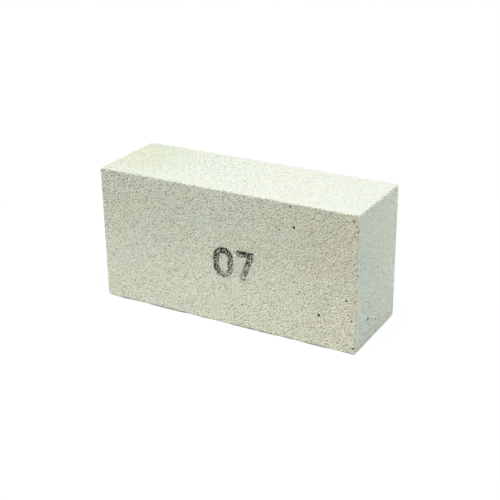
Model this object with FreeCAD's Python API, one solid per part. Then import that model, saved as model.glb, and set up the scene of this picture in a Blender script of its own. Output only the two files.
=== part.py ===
import FreeCAD, Part
import os

# An insulating firebrick: one fired block of light, open-pored clay, ground square on all six faces.
# Millimetres, +Z up. It stands on a long edge, with X along its length and its marked bed face
# towards -Y. The origin is the middle of the face that it stands on.

# Standard size of the three-inch series
LENGTH = 230.0
WIDTH = 114.0
THICKNESS = 76.0

# The soft edges lose their sharpness in grinding and handling
ARRIS_RADIUS = 0.8


def bed_outline():
    """The square-cornered outline of a bed face, upright at the front of the brick."""
    left, right = -LENGTH / 2, LENGTH / 2
    front = -THICKNESS / 2
    corners = [(left, 0.0), (right, 0.0), (right, WIDTH), (left, WIDTH), (left, 0.0)]
    return Part.makePolygon([FreeCAD.Vector(x, front, z) for x, z in corners])


def firebrick():
    """The block between its two bed faces, with every arris eased to the same radius."""
    slab = Part.Face(bed_outline()).extrude(FreeCAD.Vector(0, THICKNESS, 0))
    return slab.makeFillet(ARRIS_RADIUS, slab.Edges)


def main():
    os.makedirs("parts", exist_ok=True)
    brick = firebrick()
    brick.exportStep("parts/firebrick.step")
    box = brick.BoundBox
    print(f"firebrick {box.XLength:.1f} x {box.YLength:.1f} x {box.ZLength:.1f} mm, {brick.Volume:.0f} mm3")


main()
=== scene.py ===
# %% [markdown]
# # An insulating firebrick
#
# The CAD model is one ground block of light, open-pored clay that stands on a long edge. Its size is
# final, so nothing here moves or scales it. What is missing is all that the eye reads as fired clay:
# pores, crumbled arrises, grain, stains and an ink stamp. Each step below adds one of them.
#
# The packed block is loaded first. Its box is kept, because the brick's sizes and middle are taken from it.

# %% Load the packed block
import math

import bpy
from mathutils import Matrix, Vector


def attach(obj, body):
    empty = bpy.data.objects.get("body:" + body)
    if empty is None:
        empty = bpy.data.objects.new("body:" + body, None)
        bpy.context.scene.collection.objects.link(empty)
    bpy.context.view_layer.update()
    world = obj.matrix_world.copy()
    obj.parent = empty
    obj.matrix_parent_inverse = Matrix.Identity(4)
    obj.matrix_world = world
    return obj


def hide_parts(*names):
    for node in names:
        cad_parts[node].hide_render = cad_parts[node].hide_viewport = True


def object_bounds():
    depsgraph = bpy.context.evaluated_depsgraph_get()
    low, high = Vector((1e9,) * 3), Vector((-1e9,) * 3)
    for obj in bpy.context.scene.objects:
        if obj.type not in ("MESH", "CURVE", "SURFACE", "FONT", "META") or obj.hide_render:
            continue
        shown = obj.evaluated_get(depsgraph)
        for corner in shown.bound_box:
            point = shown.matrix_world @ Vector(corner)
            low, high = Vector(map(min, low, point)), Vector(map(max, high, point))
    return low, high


MM = 0.001

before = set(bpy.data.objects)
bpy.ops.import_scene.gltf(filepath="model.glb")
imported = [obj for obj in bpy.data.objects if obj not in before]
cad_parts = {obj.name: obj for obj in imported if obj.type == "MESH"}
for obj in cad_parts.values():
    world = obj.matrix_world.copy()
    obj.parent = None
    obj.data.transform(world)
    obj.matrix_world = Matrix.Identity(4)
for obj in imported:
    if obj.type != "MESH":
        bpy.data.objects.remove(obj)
cad_low, cad_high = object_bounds()
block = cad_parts["firebrick"]
half_size = (cad_high - cad_low) / 2
middle = (cad_high + cad_low) / 2
print("CAD block, mm:", [round(2 * half / MM, 1) for half in half_size])

# %% [markdown]
# ## Nodes from Python expressions
#
# The shape comes from Geometry Nodes and the finish from shader nodes. Adding and linking such nodes one
# by one hides the idea behind them, so a small class wraps an output socket and lets Python's own
# operators add the Math nodes. `1 - mask` or `place * 2` then reads as the sum that it is, in both kinds
# of tree.

# %% A socket that Python's operators work on
class Wire:
    """An output socket of a node tree. Operators on it add Math or Vector Math nodes."""

    def __init__(self, socket):
        self.socket = socket
        self.tree = socket.id_data

    @staticmethod
    def node(tree, kind, settings=None, inputs=None, output=None):
        """The wire out of a new node. Its settings come first, because they decide which sockets it has."""
        made = tree.nodes.new(kind)
        for name, value in (settings or {}).items():
            setattr(made, name, value)
        ready = [socket for socket in made.inputs if socket.enabled]
        by_name = {socket.name: socket for socket in reversed(ready)}
        pairs = inputs.items() if isinstance(inputs, dict) else enumerate(inputs or [])
        for key, value in pairs:
            Wire.plug(by_name[key] if isinstance(key, str) else ready[key], value)
        shown = [socket for socket in made.outputs if socket.enabled]
        return Wire(made.outputs[output] if output else shown[0])

    @staticmethod
    def plug(socket, value):
        """Links a wire, or several, to an input socket, or sets the socket's own value."""
        several = value if isinstance(value, list) else [value]
        if isinstance(several[0], Wire):
            for wire in several:
                wire.tree.links.new(wire.socket, socket)
        elif socket.type == "VECTOR" and isinstance(value, (int, float)):
            socket.default_value = (value, value, value)
        elif socket.type == "RGBA":
            socket.default_value = (*value, 1.0)
        else:
            socket.default_value = value

    def beside(self, name):
        """Another output of the node that this wire comes from."""
        return Wire(self.socket.node.outputs[name])

    def maths(self, operation, *values):
        """A Math node on these values, or a Vector Math node where one of them is a vector."""
        vector = any(isinstance(v, (tuple, Vector)) or getattr(v, "is_vector", False) for v in values)
        kind = "ShaderNodeVectorMath" if vector else "ShaderNodeMath"
        return Wire.node(self.tree, kind, {"operation": operation}, list(values))

    @property
    def is_vector(self):
        return self.socket.type == "VECTOR"

    def __add__(self, other):
        return self.maths("ADD", self, other)

    __radd__ = __add__

    def __sub__(self, other):
        return self.maths("SUBTRACT", self, other)

    def __rsub__(self, other):
        return self.maths("SUBTRACT", other, self)

    def __mul__(self, other):
        return self.maths("MULTIPLY", self, other)

    __rmul__ = __mul__

    def __truediv__(self, other):
        return self.maths("DIVIDE", self, other)

    def __pow__(self, power):
        return self.maths("POWER", self, power)

    def __abs__(self):
        return self.maths("ABSOLUTE", self)

    def __lt__(self, other):
        return self.maths("LESS_THAN", self, other)

    def __gt__(self, other):
        return self.maths("GREATER_THAN", self, other)

    def least(self, other):
        """The lower of two numbers."""
        return self.maths("MINIMUM", self, other)

    def most(self, other):
        """The higher of two numbers."""
        return self.maths("MAXIMUM", self, other)

    def length(self):
        return self.maths("LENGTH", self)

    def axes(self):
        """The three numbers of a vector, each as a wire."""
        first = Wire.node(self.tree, "ShaderNodeSeparateXYZ", inputs=[self])
        return first, first.beside("Y"), first.beside("Z")

    def ramp(self, start, end):
        """0 at start and 1 at end, with a soft change between them. It falls where end is the lower one."""
        limits = {"Value": self, "From Min": start, "From Max": end}
        return Wire.node(self.tree, "ShaderNodeMapRange", {"interpolation_type": "SMOOTHSTEP"}, limits)

    def mix(self, low, high):
        """A colour between two others: low where this wire is 0 and high where it is 1."""
        colours = {"Factor": self, "A": low, "B": high}
        return Wire.node(self.tree, "ShaderNodeMix", {"data_type": "RGBA"}, colours)

    def tint(self, share, by):
        """This colour multiplied by another, as far as the share says."""
        multiply = {"data_type": "RGBA", "blend_type": "MULTIPLY"}
        return Wire.node(self.tree, "ShaderNodeMix", multiply, {"Factor": share, "A": self, "B": by})


print("Operators ready:", ", ".join(name for name in vars(Wire) if not name.startswith("_")))

# %% [markdown]
# ## The camera
#
# The camera stands where the photographer stood. Its place came from fitting a perspective camera to the
# brick's visible edges, so it is written as such a fit gives it: how far round, how high, how far away,
# and how far it was turned about its own axis. The aim is given from the middle of the block. Both the
# distance and the aim were nudged afterwards, because crumbled arrises take a little off the outline. The
# focal length was found in pixels of the 500-pixel picture, and Blender wants it in millimetres of a 36
# mm sensor.

# %% The photographer's view
AZIMUTH = math.radians(29.34)
ELEVATION = math.radians(23.53)
ROLL = math.radians(-0.67)
DISTANCE = 889.3 * MM
AIM_RIGHT = 2.65 * MM
AIM_UP = -6.88 * MM
FOCAL_PIXELS = 1088.2
PICTURE_PIXELS = 500
SENSOR_WIDTH = 36.0

camera_data = bpy.data.cameras.new("photographer")
camera_data.sensor_width = SENSOR_WIDTH
camera_data.lens = FOCAL_PIXELS / PICTURE_PIXELS * SENSOR_WIDTH
camera = bpy.data.objects.new("photographer", camera_data)
bpy.context.scene.collection.objects.link(camera)
tilt = Matrix.Rotation(math.pi / 2 - ELEVATION, 3, "X") @ Matrix.Rotation(ROLL, 3, "Z")
turn = Matrix.Rotation(AZIMUTH, 3, "Z") @ tilt
stand = middle + turn @ Vector((AIM_RIGHT, AIM_UP, DISTANCE))
camera.matrix_world = Matrix.Translation(stand) @ turn.to_4x4()
bpy.context.scene.camera = camera
print(f"Camera with a {camera_data.lens:.1f} mm lens, {DISTANCE:.2f} m from the brick")

# %% [markdown]
# ## Pores, chips and knocked corners
#
# Light firebrick is about two thirds air. Sawdust or foam in the clay burns out in the kiln and leaves
# round pores, and grinding the faces cuts them open. The arrises are too soft to stay whole, so crumbs
# break off along them and the corners are knocked blunt. Bump mapping could fake all that, but then the
# outline would stay as straight as glass. So each pore and chip is a small lump, scattered by Geometry
# Nodes and cut out of the block by one boolean. A lump has only twenty faces, because there are thousands
# of them.
#
# The tree's sizes are named inputs, so that the same tree could make a coarser or a finer brick.

# %% The tree and its named inputs
PORE_SPACING = 3.8 * MM
PORE_SMALL = 0.34 * MM
PORE_LARGE = 1.05 * MM
CHIP_SPACING = 6.0 * MM
CHIP_SMALL = 0.6 * MM
CHIP_LARGE = 1.6 * MM
CRUMB_SPACING = 2.9 * MM
CRUMB_SMALL = 0.55 * MM
CRUMB_LARGE = 0.92 * MM
CORNER_LARGE = 3.6 * MM
SEED = 11

clay = bpy.data.materials.new("fired_clay")
tree = bpy.data.node_groups.new("open_pored_block", "GeometryNodeTree")
tree.interface.new_socket("Geometry", in_out="OUTPUT", socket_type="NodeSocketGeometry")
tree.interface.new_socket("Geometry", in_out="INPUT", socket_type="NodeSocketGeometry")
tree_values = {
    "Pore spacing": ("NodeSocketFloat", PORE_SPACING),
    "Smallest pore": ("NodeSocketFloat", PORE_SMALL),
    "Largest pore": ("NodeSocketFloat", PORE_LARGE),
    "Chip spacing": ("NodeSocketFloat", CHIP_SPACING),
    "Smallest chip": ("NodeSocketFloat", CHIP_SMALL),
    "Largest chip": ("NodeSocketFloat", CHIP_LARGE),
    "Crumb spacing": ("NodeSocketFloat", CRUMB_SPACING),
    "Smallest crumb": ("NodeSocketFloat", CRUMB_SMALL),
    "Largest crumb": ("NodeSocketFloat", CRUMB_LARGE),
    "Largest corner": ("NodeSocketFloat", CORNER_LARGE),
    "Seed": ("NodeSocketInt", SEED),
    "Clay": ("NodeSocketMaterial", clay),
}
identifiers = {}
for name, (kind, value) in tree_values.items():
    identifiers[name] = tree.interface.new_socket(name, in_out="INPUT", socket_type=kind).identifier
given = Wire.node(tree, "NodeGroupInput")
print("Tree inputs:", ", ".join(identifiers))

# %% [markdown]
# A packed block is loose triangles with the CAD program's own normals. It is merged into one closed skin
# and its faces are shaded flat, because the boolean leaves long thin triangles on them, and smooth
# shading would smear light along those. The merging distance is far below the arris radius, which it
# would otherwise eat.

# %% A closed skin to cut into
MERGE_DISTANCE = 0.01 * MM

merged = {"Geometry": given.beside("Geometry"), "Distance": MERGE_DISTANCE}
solid = Wire.node(tree, "GeometryNodeMergeByDistance", inputs=merged)
solid = Wire.node(tree, "GeometryNodeSetMeshNormal", inputs={"Mesh": solid})
solid = Wire.node(tree, "GeometryNodeSetShadeSmooth", inputs={"Geometry": solid, "Shade Smooth": False})
print("Merging distance, mm:", MERGE_DISTANCE / MM)

# %% [markdown]
# Every kind of flaw is a lump on a point, so one helper makes them all: a coarse ball of a random size, a
# little stretched and turned at random, so that no two are alike. Each kind starts its random numbers at
# a step of its own, away from the others.

# %% Lumps to cut with
LUMP_SLIM = 0.8
LUMP_WIDE = 1.1
PORE_LIFT = 0.25


def chance(low, high, seed_step, kind="FLOAT"):
    """A random value for each point, from the tree's own seed."""
    limits = {"Min": low, "Max": high, "Seed": given.beside("Seed") + seed_step}
    return Wire.node(tree, "FunctionNodeRandomValue", {"data_type": kind}, limits)


def lumps(points, smallest, largest, seed_step, power=1.0, outward=(0.0, 0.0, 0.0)):
    """One lump on each point, lifted along outward by a share. A higher power leaves fewer large ones."""
    lump = Wire.node(tree, "GeometryNodeMeshIcoSphere", inputs={"Radius": 1.0, "Subdivisions": 1})
    lump = Wire.node(tree, "GeometryNodeSetShadeSmooth", inputs={"Geometry": lump})
    radius = smallest + (largest - smallest) * chance(0.0, 1.0, seed_step) ** power
    stretch = chance((LUMP_SLIM,) * 3, (LUMP_WIDE,) * 3, seed_step + 1, "FLOAT_VECTOR")
    spin = chance((0.0,) * 3, (math.tau,) * 3, seed_step + 2, "FLOAT_VECTOR")
    lifted = {"Geometry": points, "Offset": radius * PORE_LIFT * outward}
    points = Wire.node(tree, "GeometryNodeSetPosition", inputs=lifted)
    placed = {"Points": points, "Instance": lump, "Rotation": spin, "Scale": stretch * radius}
    instances = Wire.node(tree, "GeometryNodeInstanceOnPoints", inputs=placed)
    return Wire.node(tree, "GeometryNodeRealizeInstances", inputs=[instances])


print("Lumps stretched by", LUMP_SLIM, "to", LUMP_WIDE)

# %% [markdown]
# Pores could be scattered at random places, but then many would run into each other. Poisson scattering
# keeps them a spacing apart and fills the faces evenly. Its density only has to be higher than the
# spacing allows.
#
# Most pores are small and a few are large, so a random number is raised to a power before it sets the
# radius. A lump sits a quarter of its radius above the face. The pit is then a bowl whose walls open
# outwards, and each of them can be seen from straight above, which the flat layout of the faces below
# relies on.

# %% Scatter pores over the faces
PORE_POWER = 2.5
PORE_SEED_STEP = 10
DENSITY_LIMIT = 1.0e6

scatter = {
    "Mesh": solid,
    "Distance Min": given.beside("Pore spacing"),
    "Density Max": DENSITY_LIMIT,
    "Seed": given.beside("Seed"),
}
poisson = {"distribute_method": "POISSON"}
pore_points = Wire.node(tree, "GeometryNodeDistributePointsOnFaces", poisson, scatter)
smallest, largest = given.beside("Smallest pore"), given.beside("Largest pore")
pores = lumps(pore_points, smallest, largest, PORE_SEED_STEP, PORE_POWER, pore_points.beside("Normal"))
print("Pores from", PORE_SMALL / MM, "to", PORE_LARGE / MM, "mm in radius")

# %% [markdown]
# The block's bounding box has the twelve arrises as its edges and the eight corners as its points, so it
# guides the chips. Points evenly spaced along an edge would look like stitches, so each slides a random
# way along its own edge first. The slide is short enough for the lumps of one kind to stay apart, and
# none lies at a corner, where three edges meet: a boolean wants cutters that don't run into themselves.

# %% Break crumbs off the arrises and knock the corners
SLIDE = 0.15
CLEAR_OF_CORNER = 3.0 * MM
SLIDE_SEED_STEP = 20
CHIP_SEED_STEP = 30
CRUMB_SEED_STEP = 40
CORNER_SEED_STEP = 66

position = Wire.node(tree, "GeometryNodeInputPosition")
box = Wire.node(tree, "GeometryNodeBoundBox", inputs={"Geometry": solid})
arrises = Wire.node(tree, "GeometryNodeMeshToCurve", inputs=[box])


def along_arrises(spacing):
    """Points along the arrises, slid off their even places, with the corners left free."""
    even = {"Curve": arrises, "Length": spacing}
    points = Wire.node(tree, "GeometryNodeCurveToPoints", {"mode": "LENGTH"}, even)
    slide = chance(-SLIDE, SLIDE, SLIDE_SEED_STEP) * spacing * points.beside("Tangent")
    points = Wire.node(tree, "GeometryNodeSetPosition", inputs={"Geometry": points, "Offset": slide})
    to_corner = (tuple(half_size) - abs(position - middle)).length()
    near_corner = {"Geometry": points, "Selection": to_corner < CLEAR_OF_CORNER}
    return Wire.node(tree, "GeometryNodeDeleteGeometry", {"domain": "POINT"}, near_corner)


chip_points = along_arrises(given.beside("Chip spacing"))
smallest, largest = given.beside("Smallest chip"), given.beside("Largest chip")
chips = lumps(chip_points, smallest, largest, CHIP_SEED_STEP)
crumb_points = along_arrises(given.beside("Crumb spacing"))
smallest, largest = given.beside("Smallest crumb"), given.beside("Largest crumb")
crumbs = lumps(crumb_points, smallest, largest, CRUMB_SEED_STEP)
corner_points = Wire.node(tree, "GeometryNodeMeshToPoints", inputs={"Mesh": box})
smallest, largest = given.beside("Smallest chip"), given.beside("Largest corner")
knocks = lumps(corner_points, smallest, largest, CORNER_SEED_STEP)
print("Chips about every", CHIP_SPACING / MM, "mm, crumbs about every", CRUMB_SPACING / MM, "mm")

# %% [markdown]
# One boolean takes all the lumps away at once, which is quicker and safer than thousands of single cuts.
# Where two cuts meet it can leave points on top of each other, and merging them closes the skin cleanly.

# %% Cut them out of the block
CLEAN_DISTANCE = 0.0001 * MM

cut = Wire.node(
    tree,
    "GeometryNodeMeshBoolean",
    {"operation": "DIFFERENCE", "solver": "MANIFOLD"},
    {"Mesh 1": solid, "Mesh 2": [pores, chips, crumbs, knocks]},
)
clean = Wire.node(tree, "GeometryNodeMergeByDistance", inputs={"Geometry": cut, "Distance": CLEAN_DISTANCE})
print("Boolean of", len(cut.socket.node.inputs["Mesh 2"].links), "kinds of lump")

# %% [markdown]
# Baking the finish into a picture for other programs needs a flat layout of the skin.
# Blender's own unwrapping would make an island of every pore wall, thousands in all. A ground block has a
# simpler one: each of its six faces is laid down flat at its real size, with the pits seen from straight
# above. Which face a polygon belongs to is told by its middle, the same for all of its corners.

# %% Lay the six faces out flat
SHEET = 390.0 * MM
GAP = 2.0 * MM

by_face = {"domain": "FACE", "data_type": "FLOAT_VECTOR"}
centre = Wire.node(tree, "GeometryNodeFieldOnDomain", by_face, [position])
centre_x, centre_y, centre_z = (centre - middle).axes()
to_end = half_size.x - abs(centre_x)
to_bed = half_size.y - abs(centre_y)
to_edge = half_size.z - abs(centre_z)
is_end = to_end < to_bed.least(to_edge)
is_edge = (to_edge < to_bed) * (1 - is_end)
is_bed = 1 - is_end - is_edge
from_left, from_front, from_floor = (position - cad_low).axes()
length, thickness, width = half_size * 2
row = GAP + width
beds = from_floor + GAP + row * (centre_y > 0.0)
ends = from_floor + GAP + row * (centre_x < 0.0)
edges = from_front + GAP + 2 * row + (GAP + thickness) * (centre_z < 0.0)
across = is_end * (from_front + 2 * GAP + length) + (1 - is_end) * (from_left + GAP)
upwards = is_bed * beds + is_end * ends + is_edge * edges
flat_place = Wire.node(tree, "ShaderNodeCombineXYZ", inputs=[across / SHEET, upwards / SHEET])
as_map = {"data_type": "FLOAT2", "domain": "CORNER"}
layout = {"Geometry": clean, "Name": "OFBake", "Value": flat_place}
laid_out = Wire.node(tree, "GeometryNodeStoreNamedAttribute", as_map, layout)
print("Six faces on a square sheet, mm:", SHEET / MM)

# %% [markdown]
# The tree ends by making its instances real and dressing them in clay. The object then takes the
# evaluated mesh as its own and drops the modifier, so what is left is plain mesh.

# %% Make the pored mesh
real = Wire.node(tree, "GeometryNodeRealizeInstances", inputs=[laid_out])
finish = {"Geometry": real, "Material": given.beside("Clay")}
dressed = Wire.node(tree, "GeometryNodeSetMaterial", inputs=finish)
ending = tree.nodes.new("NodeGroupOutput")
Wire.plug(ending.inputs[0], dressed)

brick = bpy.data.objects.new("open_pored_brick", block.data.copy())
bpy.context.scene.collection.objects.link(brick)
maker = brick.modifiers.new("open_pored_block", "NODES")
maker.node_group = tree
for name, (kind, value) in tree_values.items():
    maker[identifiers[name]] = value
depsgraph = bpy.context.evaluated_depsgraph_get()
pored_mesh = bpy.data.meshes.new_from_object(brick.evaluated_get(depsgraph))
brick.modifiers.remove(maker)
brick.data = pored_mesh
pored_mesh.calc_loop_triangles()
maps = [layer.name for layer in pored_mesh.uv_layers]
print("Pored brick:", len(pored_mesh.loop_triangles), "triangles, maps", maps)

# %% [markdown]
# ## Fired clay
#
# The finish has no picture behind it. Every mark is a sum over Object coordinates, so it stays in the clay
# from every side. Coordinates are turned into millimetres first, because then each number below is a size
# that could be measured on the brick.
#
# How far a point lies below each pair of faces tells where it is: the smallest of the three is its depth
# in a pore, and the pair that gives it names the face. The second smallest is the way to the nearest
# arris. Each point then belongs to a bed face, an end or a long edge, with a short blend between them.

# %% Where a point lies on the brick
FACE_BLEND = 1.4

clay.use_nodes = True
skin = clay.node_tree
shader = skin.nodes["Principled BSDF"]
place = Wire.node(skin, "ShaderNodeTexCoord", output="Object") * (1 / MM)
x, y, z = place.axes()
half_x, half_y, half_z = (half / MM for half in half_size)
below_end = half_x - abs(x)
below_bed = half_y - abs(y)
below_edge = half_z - abs(z - half_z)
depth = below_end.least(below_bed).least(below_edge)
to_arris = below_end.most(below_bed).least(below_edge).most(below_end.least(below_bed))
on_bed = (below_bed - below_end.least(below_edge)).ramp(FACE_BLEND, -FACE_BLEND)
on_end = (below_end - below_bed.least(below_edge)).ramp(FACE_BLEND, -FACE_BLEND)
on_edge = 1 - on_bed - on_end
on_front = on_bed * (y < 0.0)
print("Half sizes for the finish, mm:", round(half_x, 1), round(half_y, 1), round(half_z, 1))

# %% [markdown]
# Noise in Blender is built on a cubic lattice, and a face that runs along the lattice shows it as rows.
# So the patterns are laid in the clay at a slant. Two helpers make all of them: cloudy noise for grain
# and stains, and scattered points for pits and specks. A shift moves a pattern along, so that each is its
# own.

# %% Patterns laid at a slant
SLANT = (0.61, 0.53, 0.37)


def slanted(at, shift):
    """Coordinates turned off the block's axes and moved along."""
    return Wire.node(skin, "ShaderNodeMapping", inputs={"Vector": at, "Rotation": SLANT, "Location": shift})


def noise(size, detail=0.0, shift=0.0, at=place):
    """Cloudy noise from 0 to 1 whose blotches are about this many millimetres across."""
    values = {"Vector": slanted(at, shift), "Scale": 1 / size, "Detail": detail}
    return Wire.node(skin, "ShaderNodeTexNoise", inputs=values, output="Fac")


def from_points(spacing, shift=0.0, at=place):
    """Distance in millimetres from the nearest of many scattered points."""
    values = {"Vector": slanted(at, shift), "Scale": 1 / spacing}
    return Wire.node(skin, "ShaderNodeTexVoronoi", inputs=values, output="Distance") * spacing


print("Patterns turned by", [round(math.degrees(angle)) for angle in SLANT], "degrees")

# %% [markdown]
# A ground face is as rough as coarse sandpaper: sharp grains, with hollows between them. Between the cut
# pores lie far more that are too small to be worth a mesh of their own, and those are round pits in the
# same relief.
#
# The relief is a function of the place, so that it can be asked twice: here, and a little further uphill.
# Where it is higher here than uphill, a grain turns its side to the light. Such sides get a painted
# highlight, and the far sides painted shade.

# %% Grain and fine pits
GRAIN = 1.0
GRAIN_DETAIL = 0.5
GRAIN_SHARE = 2.0
PIT_SPACING = 2.7
PIT_EDGE = 0.85
PIT_MIDDLE = 0.25
PIT_SHARE = 0.8
UPHILL = (-0.35, -0.3, 0.5)


def grain_at(at):
    """Height of the grain, about a middle of 0."""
    return noise(GRAIN, GRAIN_DETAIL, 0.0, at) - 0.5


def pits_at(at):
    """1 in the middle of a fine pit, and 0 outside it."""
    return from_points(PIT_SPACING, 0.0, at).ramp(PIT_EDGE, PIT_MIDDLE)


def relief(grains, hollows):
    """Height of the surface, made of its grains and the pits between them."""
    return grains * GRAIN_SHARE - hollows * PIT_SHARE


grain = grain_at(place)
pits = pits_at(place)
uphill = place + UPHILL
height = relief(grain, pits)
# Painted light and shade: the side of a grain that faces the light is made paler, and the far side darker.
painted_emboss = height - relief(grain_at(uphill), pits_at(uphill))
print("Grain of", GRAIN, "mm, pits about every", PIT_SPACING, "mm")

# %% [markdown]
# Here and there a pit goes deep, and its shade is painted as a dark dot; towards the right the dots grow.
# The pores that were cut into the mesh darken with their depth, a painted shade, as light doesn't reach
# their floors. Close to an arris that painted shade is left out, so a broken arris stays as pale as fresh
# clay.

# %% Dark dots and pore floors
DOT_SPACING = 7.0
DOT_SHIFT = 40.0
DOT_EDGE = 0.75
DOT_MIDDLE = 0.3
DOT_GROWTH = 0.15
DOT_GROWS = (0.0, 60.0)
CAVITY_EDGE = 0.05
CAVITY_FLOOR = 0.6
OFF_ARRIS = (1.2, 2.4)

to_dot = from_points(DOT_SPACING, DOT_SHIFT) - x.ramp(*DOT_GROWS) * DOT_GROWTH
# Painted shade: each dark dot stands for the shade in a deep pit.
dots = to_dot.ramp(DOT_EDGE, DOT_MIDDLE)
# Painted shade on the floors of the cut pores, deeper with their depth and left out near the arrises.
cavity = depth.ramp(CAVITY_EDGE, CAVITY_FLOOR) * to_arris.ramp(*OFF_ARRIS)
print("Dark dots about every", DOT_SPACING, "mm")

# %% [markdown]
# All of that becomes one tone between two colours, from the bottom of a hollow to the top of a grain. The
# fine pits, the dark dots and the pore floors are darkened in it as painted shade, and the slopes of the
# grain carry painted light and shade. How far it swings about its even value is the bite of a face. The bed
# faces are sawn and have the most, growing towards the right. The ends are smoother, most of all near the
# top, and the ground edges are the smoothest and palest. Towards the right of the marked face the hollows
# hold a little brown dirt.

# %% Clay from its hollows to its grains
HOLLOW = (0.46, 0.485, 0.36)
BROWN_HOLLOW = (0.45, 0.45, 0.33)
GRAIN_TOP = (0.93, 0.942, 0.83)
EVEN_TONE = 0.56
EDGE_PALER = 0.015
GRAIN_TONE = 0.6
PAINTED_EMBOSS_TONE = 0.6
PIT_SHADE = 0.4
DOT_SHADE = 0.9
CAVITY_SHADE = 0.6
EDGE_BITE = 0.22
END_BITE = 0.78
END_BITE_TOP = 0.55
BED_BITE = 1.05
BED_BITE_LEFT = 0.86
BED_BITE_GROWS = (-110.0, 90.0)
END_BITE_FADES = (75.0, 110.0)
BROWN_FROM_TO = (30.0, 95.0)

bed_bite = x.ramp(*BED_BITE_GROWS) * (BED_BITE - BED_BITE_LEFT) + BED_BITE_LEFT
end_bite = z.ramp(*END_BITE_FADES) * (END_BITE_TOP - END_BITE) + END_BITE
bite = EDGE_BITE * on_edge + bed_bite * on_bed + end_bite * on_end
# Painted shade darkens the fine pits, dark dots and pore floors, and the grain's slopes get painted light
# and shade.
marks = grain * GRAIN_TONE + painted_emboss * PAINTED_EMBOSS_TONE - pits * PIT_SHADE - dots * DOT_SHADE - cavity * CAVITY_SHADE
tone = EVEN_TONE + EDGE_PALER * on_edge + bite * marks
hollow = (x.ramp(*BROWN_FROM_TO) * on_front).mix(HOLLOW, BROWN_HOLLOW)
colour = tone.mix(hollow, GRAIN_TOP)
print("Clay from", HOLLOW, "to", GRAIN_TOP)

# %% [markdown]
# No brick comes out of the kiln in one colour. The clay is mottled in patches of a few centimetres,
# faintly cooler here and warmer there. Multiplying by a tint near 1 keeps the grain and only shifts its
# colour.

# %% Mottled clay
COOL = (0.99, 1.0, 1.01)
WARM = (1.01, 1.0, 0.985)
MOTTLE = 24.0
MOTTLE_DETAIL = 2.0
MOTTLE_SHIFT = 90.0
MOTTLE_SPAN = (0.35, 0.65)

mottle = noise(MOTTLE, MOTTLE_DETAIL, MOTTLE_SHIFT).ramp(*MOTTLE_SPAN)
colour = colour.tint(1.0, mottle.mix(COOL, WARM))
print("Mottled in patches of about", MOTTLE, "mm")

# %% [markdown]
# Sawing, grinding and stacking leave each face with a tone of its own. The marked bed face turns warmer
# towards the right, and painted shade makes it greyer towards the top. Painted light, as if bounced off the
# paper, makes the foot of the bed faces paler. The ends are cooler. Painted shade makes them duller towards
# the front, painted light paler towards the top, and a painted highlight palest at their upper rim. The
# ground edges are a shade deeper towards the right.
#
# Each line of the list is a tint and the share of it that a point takes. A pair of numbers is where a
# tint starts and where it is full, in millimetres.

# %% Tints of the faces
BED = (1.045, 1.055, 0.99)
BED_RIGHT = (0.988, 0.965, 0.948)
BED_RIGHT_FROM_TO = (0.0, 110.0)
BED_TOP_SHADE = (0.863, 0.863, 0.863)
BED_TOP_SHADE_FROM_TO = (15.0, 100.0)
BED_FOOT_BOUNCE_LIGHT = (1.07, 1.07, 1.07)
BED_FOOT_BOUNCE_LIGHT_FROM_TO = (8.0, 0.0)
END = (0.98, 1.005, 1.01)
END_LEFT_SHADE = (0.96, 0.967, 0.985)
END_LEFT_SHADE_FROM_TO = (25.0, -38.0)
END_TOP_LIGHT = (1.005, 1.025, 1.03)
END_TOP_LIGHT_FROM_TO = (20.0, 110.0)
END_RIM_HIGHLIGHT = (1.15, 1.15, 1.15)
END_RIM_HIGHLIGHT_FROM_TO = (111.6, 113.4)
EDGE = (0.98, 1.0, 1.0)
EDGE_RIGHT = (0.962, 0.945, 0.962)
EDGE_RIGHT_FROM_TO = (-60.0, 90.0)

edge_right = x.ramp(*EDGE_RIGHT_FROM_TO) * on_edge
face_tints = [
    (BED, on_bed),
    (BED_RIGHT, x.ramp(*BED_RIGHT_FROM_TO) * on_front),
    # Painted shade: the marked face darker towards the top.
    (BED_TOP_SHADE, z.ramp(*BED_TOP_SHADE_FROM_TO) * on_front),
    # Painted light: the foot of the bed faces paler, as light bounced off the paper.
    (BED_FOOT_BOUNCE_LIGHT, z.ramp(*BED_FOOT_BOUNCE_LIGHT_FROM_TO) * on_bed),
    (END, on_end),
    # Painted shade: the ends darker towards the front.
    (END_LEFT_SHADE, y.ramp(*END_LEFT_SHADE_FROM_TO) * on_end),
    # Painted light: the ends paler towards the top.
    (END_TOP_LIGHT, z.ramp(*END_TOP_LIGHT_FROM_TO) * on_end),
    # Painted highlight: the ends palest along their upper rim.
    (END_RIM_HIGHLIGHT, z.ramp(*END_RIM_HIGHLIGHT_FROM_TO) * on_end),
    (EDGE, on_edge),
    (EDGE_RIGHT, edge_right),
]
for tint, share in face_tints:
    colour = colour.tint(share, tint)
print(len(face_tints), "tints of faces and their sides")

# %% [markdown]
# The left end of the top has taken on a straw-coloured stain. A painted picture could show it, but a
# distance from one point, made ragged by noise, is enough for a soft patch like this.

# %% Straw-coloured stain
STRAW = (0.94, 0.937, 0.855)
STRAW_MIDDLE = (-112.0, 12.0, 114.0)
STRAW_REACH = 76.0
STRAW_FULL = 8.0
RAGGED_PATCH = 14.0
RAGGED_DETAIL = 2.0
RAGGED_SHIFT = 50.0
RAGGED_REACH = 50.0

ragged = (noise(RAGGED_PATCH, RAGGED_DETAIL, RAGGED_SHIFT) - 0.5) * RAGGED_REACH
from_stain = (place - STRAW_MIDDLE).length() + ragged
colour = colour.tint(from_stain.ramp(STRAW_REACH, STRAW_FULL), STRAW)
print("Straw-coloured stain of", STRAW_REACH, "mm")

# %% [markdown]
# Grains of iron in the clay melt out and leave dark specks. A few large ones are put where they show,
# each given by its place and its radius, and small ones are strewn through the whole body.

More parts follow.
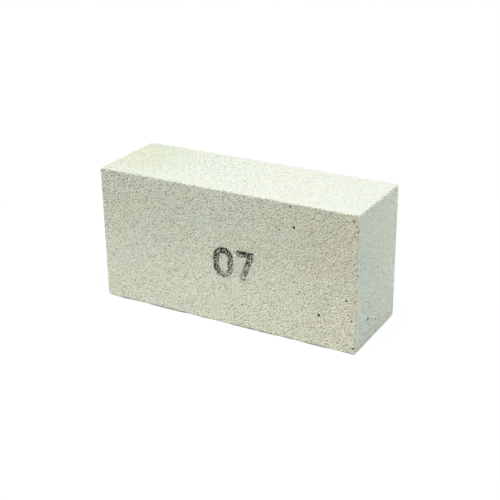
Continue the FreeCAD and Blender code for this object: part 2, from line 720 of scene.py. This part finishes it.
# %% Iron specks
IRON = (0.035, 0.03, 0.022)
RUST = (0.22, 0.165, 0.11)
BLACK_SPECKS = [
    ((62.3, -38.0, 95.0), 1.6),
    ((84.0, -38.0, 26.7), 1.65),
    ((106.7, -38.0, 44.0), 1.2),
    ((-98.3, -38.0, 89.6), 0.9),
    ((115.0, -15.0, 20.3), 1.9),
]
RUSTY_SPECKS = [
    ((59.1, -38.0, 111.5), 1.3),
    ((113.2, -38.0, 5.0), 1.4),
    ((111.4, -38.0, 27.9), 1.0),
    ((111.2, -38.0, 109.2), 1.3),
    ((16.7, -38.0, 19.7), 0.9),
    ((5.7, -12.0, 114.0), 1.1),
    ((10.0, -19.3, 114.0), 0.9),
]
SPECK_CORE = 0.45
STREWN_SPACING = 30.0
STREWN_SHIFT = 70.0
STREWN_RADIUS = 1.0
STREWN_CORE = 0.4


def specks(places):
    """1 on each of these round specks and 0 elsewhere."""
    mask = None
    for spot, radius in places:
        one = (place - spot).length().ramp(radius, radius * SPECK_CORE)
        mask = mask.most(one) if mask else one
    return mask


strewn = from_points(STREWN_SPACING, STREWN_SHIFT).ramp(STREWN_RADIUS, STREWN_CORE)
colour = specks(RUSTY_SPECKS).most(strewn).mix(colour, RUST)
colour = specks(BLACK_SPECKS).mix(colour, IRON)
print(len(BLACK_SPECKS), "black and", len(RUSTY_SPECKS), "rusty specks, besides the strewn ones")

# %% [markdown]
# Such bricks are marked with a rubber stamp and black ink, here with a plain two-figure number. A text
# object would be too clean. Instead each figure is drawn by distance: a stroke is every point within half
# its width of a middle line, and a ring is a stroke bent round. Knowing the distance to the rim of the
# ink makes it easy to roughen that rim, and to let ink gather there, as it does when the rubber is
# pressed down.

# %% Figures drawn by distance
HALF_STROKE = 2.7
FIGURE_LOW = 40.7
FIGURE_HIGH = 66.7
RING_RADIUS = 6.5
SEVEN_LEFT = 14.2
SEVEN_RIGHT = 25.2
SEVEN_FOOT = 17.6

on_face = place * (1.0, 0.0, 1.0)


def from_line(start, end):
    """Distance from a straight line on the front face between two points, each given as (x, z)."""
    first = Vector((start[0], 0.0, start[1]))
    run = Vector((end[0], 0.0, end[1])) - first
    away = on_face - first
    share = (away.maths("DOT_PRODUCT", away, run) / run.length_squared).most(0.0).least(1.0)
    return (away - share * run).length()


ring_end = RING_RADIUS + HALF_STROKE
ring = abs(from_line((0.0, FIGURE_LOW + ring_end), (0.0, FIGURE_HIGH - ring_end)) - RING_RADIUS)
bar_height = FIGURE_HIGH - HALF_STROKE
bar = from_line((SEVEN_LEFT, bar_height), (SEVEN_RIGHT, bar_height))
leg = from_line((SEVEN_RIGHT, bar_height), (SEVEN_FOOT, FIGURE_LOW + HALF_STROKE))
past_rim = ring.least(bar).least(leg) - HALF_STROKE
print("Figures", FIGURE_HIGH - FIGURE_LOW, "mm tall")

# %% [markdown]
# A stamp is never pressed evenly. The rim of a figure wavers where the rubber bridged a hollow, and ink
# is squeezed out towards it. The pressure varies in patches, and it is weaker to the right and towards
# the feet.

# %% How hard the stamp was pressed
RIM_NOISE = 2.6
BLOT = 1.0
BLOT_DETAIL = 1.0
RIM_SHIFT = 20.0
RIM_DEPTH = 0.8
RIM_SPAN = (1.2, 0.2)
RIM_SHARE = 0.15
INSIDE_SPAN = (0.4, -0.5)
PRESS = 0.42
PRESS_UPWARDS = 0.018
PRESS_TO_RIGHT = -0.006
PRESS_LEAST = 0.1
PATCH = 6.0
PATCH_DETAIL = 1.0
PATCH_SHIFT = 33.0
PATCH_SHARE = 1.1

rough_rim = past_rim + (noise(BLOT, BLOT_DETAIL, RIM_SHIFT) - 0.5) * RIM_NOISE
inside = rough_rim.ramp(*INSIDE_SPAN)
at_rim = abs(rough_rim + RIM_DEPTH).ramp(*RIM_SPAN)
uneven = (noise(PATCH, PATCH_DETAIL, PATCH_SHIFT) - 0.5) * PATCH_SHARE
slope = (z - FIGURE_LOW) * PRESS_UPWARDS + x * PRESS_TO_RIGHT
press = (PRESS + slope + uneven + at_rim * RIM_SHARE).most(PRESS_LEAST).least(1.0)
print("Rim of the ink wavers over", RIM_NOISE, "mm")

# %% [markdown]
# Ink only takes on what the rubber touches: the tops of the grains. It misses the hollows and pores, and
# leaves a thin film between its blots and a grey smear around the figures.

# %% Ink on the grains
INK = (0.018, 0.019, 0.015)
BLOT_SHIFT = 7.0
FILM = 0.20
GRAIN_TAKES = 0.8
PIT_MISSES = 0.15
CAVITY_MISSES = 0.2
PRESS_SPREADS = 0.40
INK_SPAN = (0.69, 0.79)
SMEAR = (0.82, 0.82, 0.85)
SMEAR_SHARE = 0.8
SMEAR_FROM_TO = (7.0, -1.0)
SMEAR_PATCH = 4.0
SMEAR_DETAIL = 2.0
SMEAR_SHIFT = 61.0
SMEAR_SPAN = (0.3, 0.7)

blots = noise(BLOT, BLOT_DETAIL, BLOT_SHIFT) + grain * GRAIN_TAKES
blots = blots - pits * PIT_MISSES - cavity * CAVITY_MISSES
taken = (blots + press * PRESS_SPREADS).ramp(*INK_SPAN)
ink = inside * (press * FILM).most(taken) * on_front
smeared = noise(SMEAR_PATCH, SMEAR_DETAIL, SMEAR_SHIFT).ramp(*SMEAR_SPAN)
smear = past_rim.ramp(*SMEAR_FROM_TO) * smeared * on_front
colour = colour.tint(smear * SMEAR_SHARE, SMEAR)
colour = ink.mix(colour, INK)
print("Ink in blots of about", BLOT, "mm")

# %% [markdown]
# Unglazed clay has no gloss. It scatters light almost evenly, most so in its hollows, and a little less
# where ink fills the grain. The bump's distance is the real height of the grain in metres. A face with
# less bite has a lower relief, and the ground edges are worn smoother still towards the right.

# %% Surface
GRAIN_HEIGHT = 0.9 * MM
RELIEF = 0.8
RELIEF_OF_BITE = 0.2
RELIEF_WORN = 0.25
ROUGH = 0.94
GRAIN_SMOOTHER = 0.2
INK_SMOOTHER = 0.2
DULL = 0.2

worn_height = height * (RELIEF + RELIEF_OF_BITE * bite - RELIEF_WORN * edge_right)
bumps = {"Strength": 1.0, "Distance": GRAIN_HEIGHT, "Height": worn_height}
bump = Wire.node(skin, "ShaderNodeBump", inputs=bumps)
Wire.plug(shader.inputs["Base Color"], colour)
Wire.plug(shader.inputs["Normal"], bump)
Wire.plug(shader.inputs["Roughness"], ROUGH - grain * GRAIN_SMOOTHER - ink * INK_SMOOTHER)
shader.inputs["Specular IOR Level"].default_value = DULL
print("Finish of", len(skin.nodes), "nodes")

# %% [markdown]
# ## White paper and soft light
#
# The brick stands on white paper with no horizon. Lighting the paper until it is white would burn out the
# pale clay, so the paper and the world are plain white only to rays from the camera, reflections and
# glass, and light the brick as ordinary paper and a dim room do.

# %% What the camera sees as white
def seen_as_white(tree):
    """1 for rays from the camera, reflections and glass, and 0 for light that falls on the brick."""
    camera_ray = Wire.node(tree, "ShaderNodeLightPath", output="Is Camera Ray")
    glossy_ray = camera_ray.beside("Is Glossy Ray")
    return camera_ray.most(glossy_ray).most(camera_ray.beside("Is Transmission Ray"))


WHITE = (1.0, 1.0, 1.0)
print("White to the camera:", WHITE)

# %% [markdown]
# The paper is one large sheet. Its rim doesn't show, because the room behind it is just as white.

# %% Paper under the brick
FLOOR_REACH = 6.0

floor_mesh = bpy.data.meshes.new("paper")
signs = [(-1, -1), (1, -1), (1, 1), (-1, 1)]
floor_corners = [(a * FLOOR_REACH, b * FLOOR_REACH, 0.0) for a, b in signs]
floor_mesh.from_pydata(floor_corners, [], [(0, 1, 2, 3)])
floor = bpy.data.objects.new("paper", floor_mesh)
bpy.context.scene.collection.objects.link(floor)
paper = bpy.data.materials.new("white_paper")
floor_mesh.materials.append(paper)
print("Paper reaches", FLOOR_REACH, "m each way")

# %% [markdown]
# On paper that is white all over, the brick would seem to float. Close to it the paper keeps a small share
# of its real shade, and along the foot of the two long faces nearly all of it. There the paper's own colour
# is also darkened in patches, a painted contact shadow. So a faint shadow and a thin, broken line of
# contact, darker in patches where the brick touches, tie it to the paper.

# %% Shadow and contact
PAPER = (0.9, 0.9, 0.9)
SHADOW_SHARE = 0.04
SHADOW_FROM_TO = (0.35, 0.15)
CONTACT_SHARE = 0.9
CONTACT_REACH = 1.2 * MM
CONTACT_SHADE = (0.2, 0.2, 0.2)
CONTACT_PATCH = 16.0 * MM
CONTACT_SPAN = (0.42, 0.62)

paper.use_nodes = True
sheet = paper.node_tree
matt = sheet.nodes["Principled BSDF"]
matt.inputs["Roughness"].default_value = 1.0
plain_white = Wire.node(sheet, "ShaderNodeEmission", inputs={"Color": WHITE, "Strength": 1.0})
on_paper = Wire.node(sheet, "ShaderNodeTexCoord", output="Object")
shadow = SHADOW_SHARE * on_paper.length().ramp(*SHADOW_FROM_TO)
past_end, past_bed = (abs(on_paper) - (half_size.x, half_size.y, 0.0)).axes()[:2]
contact = past_bed.ramp(CONTACT_REACH, 0.0) * past_end.ramp(0.0, -CONTACT_REACH)
broken = {"Vector": on_paper, "Scale": 1 / CONTACT_PATCH}
patches = Wire.node(sheet, "ShaderNodeTexNoise", inputs=broken, output="Fac").ramp(*CONTACT_SPAN)
# Painted shadow: the paper's colour darkens in patches along the foot of the long faces.
Wire.plug(matt.inputs["Base Color"], (contact * patches).mix(PAPER, CONTACT_SHADE))
white_share = seen_as_white(sheet) * (1 - shadow.most(contact * CONTACT_SHARE))
looks = Wire.node(sheet, "ShaderNodeMixShader", inputs=[white_share, Wire(matt.outputs[0]), plain_white])
Wire.plug(sheet.nodes["Material Output"].inputs["Surface"], looks)
print("Contact line", CONTACT_REACH / MM, "mm wide")

# %% [markdown]
# The room gives a weak, slightly warm light from everywhere. To the camera it is as white as the paper,
# so there is no seam between the two.

# %% Room
ROOM = (1.0, 0.99, 0.93)
ROOM_STRENGTH = 0.33

world = bpy.data.worlds.new("studio")
bpy.context.scene.world = world
world.use_nodes = True
sky = world.node_tree
room = Wire.node(sky, "ShaderNodeBackground", inputs={"Color": ROOM, "Strength": ROOM_STRENGTH})
backdrop = Wire.node(sky, "ShaderNodeBackground", inputs={"Color": WHITE, "Strength": 1.0})
around = Wire.node(sky, "ShaderNodeMixShader", inputs=[seen_as_white(sky), room, backdrop])
Wire.plug(sky.nodes["World Output"].inputs["Surface"], around)
print("Room light of strength", ROOM_STRENGTH)

# %% [markdown]
# A softbox above and a little in front is the main light: it makes the top the brightest face and rakes
# down the front, which brings out the grain. A small, weak and cooler one low on the right keeps the end
# face from going grey. The Standard view shows colours as they are written.

# %% Softboxes
def softbox(name, power, size, at, colour):
    """A square area lamp that faces the middle of the brick and stays out of every picture."""
    data = bpy.data.lights.new(name, "AREA")
    data.energy = power
    data.size = size
    data.color = colour
    lamp = bpy.data.objects.new(name, data)
    bpy.context.scene.collection.objects.link(lamp)
    lamp.location = at
    lamp.visible_camera = False
    lamp.rotation_euler = (middle - lamp.location).to_track_quat("-Z", "Y").to_euler()
    print(f"{name}: {power} W, {size} m wide")


softbox("softbox_above", power=19.3, size=0.9, at=(0.05, -0.25, 1.30), colour=(0.98, 1.0, 1.06))
softbox("softbox_right", power=0.34, size=0.16, at=(0.38, 0.34, 0.08), colour=(0.89, 1.0, 1.06))
bpy.context.scene.view_settings.view_transform = "Standard"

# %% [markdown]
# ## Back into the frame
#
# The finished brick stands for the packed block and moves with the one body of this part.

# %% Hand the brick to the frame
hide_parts("firebrick")
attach(brick, "root")
